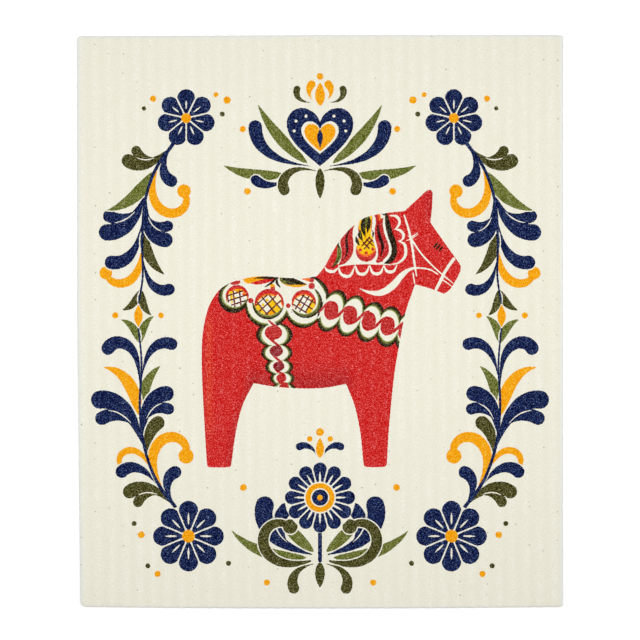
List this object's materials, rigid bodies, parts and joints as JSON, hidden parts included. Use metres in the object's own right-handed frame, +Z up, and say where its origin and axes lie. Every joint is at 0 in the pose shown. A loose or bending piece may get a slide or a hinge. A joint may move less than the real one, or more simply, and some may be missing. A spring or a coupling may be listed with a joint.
{
  "type": "sponge cloth",
  "caption": "Flat rectangular sponge cloth with shallow ribs along its length and a folk-art print of a red wooden horse inside a leafy frame.",
  "frame": {"origin": "centre of the sheet's lower face, on the surface that it lies on", "axes": "+Y along the ribs, towards the top of the print; +X across the ribs, the way the printed horse faces; +Z up, out of the printed face"},
  "size_m": [0.17, 0.2004, 0.002],
  "materials": {
    "cellulose_sponge": "matte, undyed cellulose and cotton, with the print as dye in its upper face"
  },
  "bodies": {
    "root": {"sponge_cloth": "cellulose_sponge"}
  },
  "joints": []
}
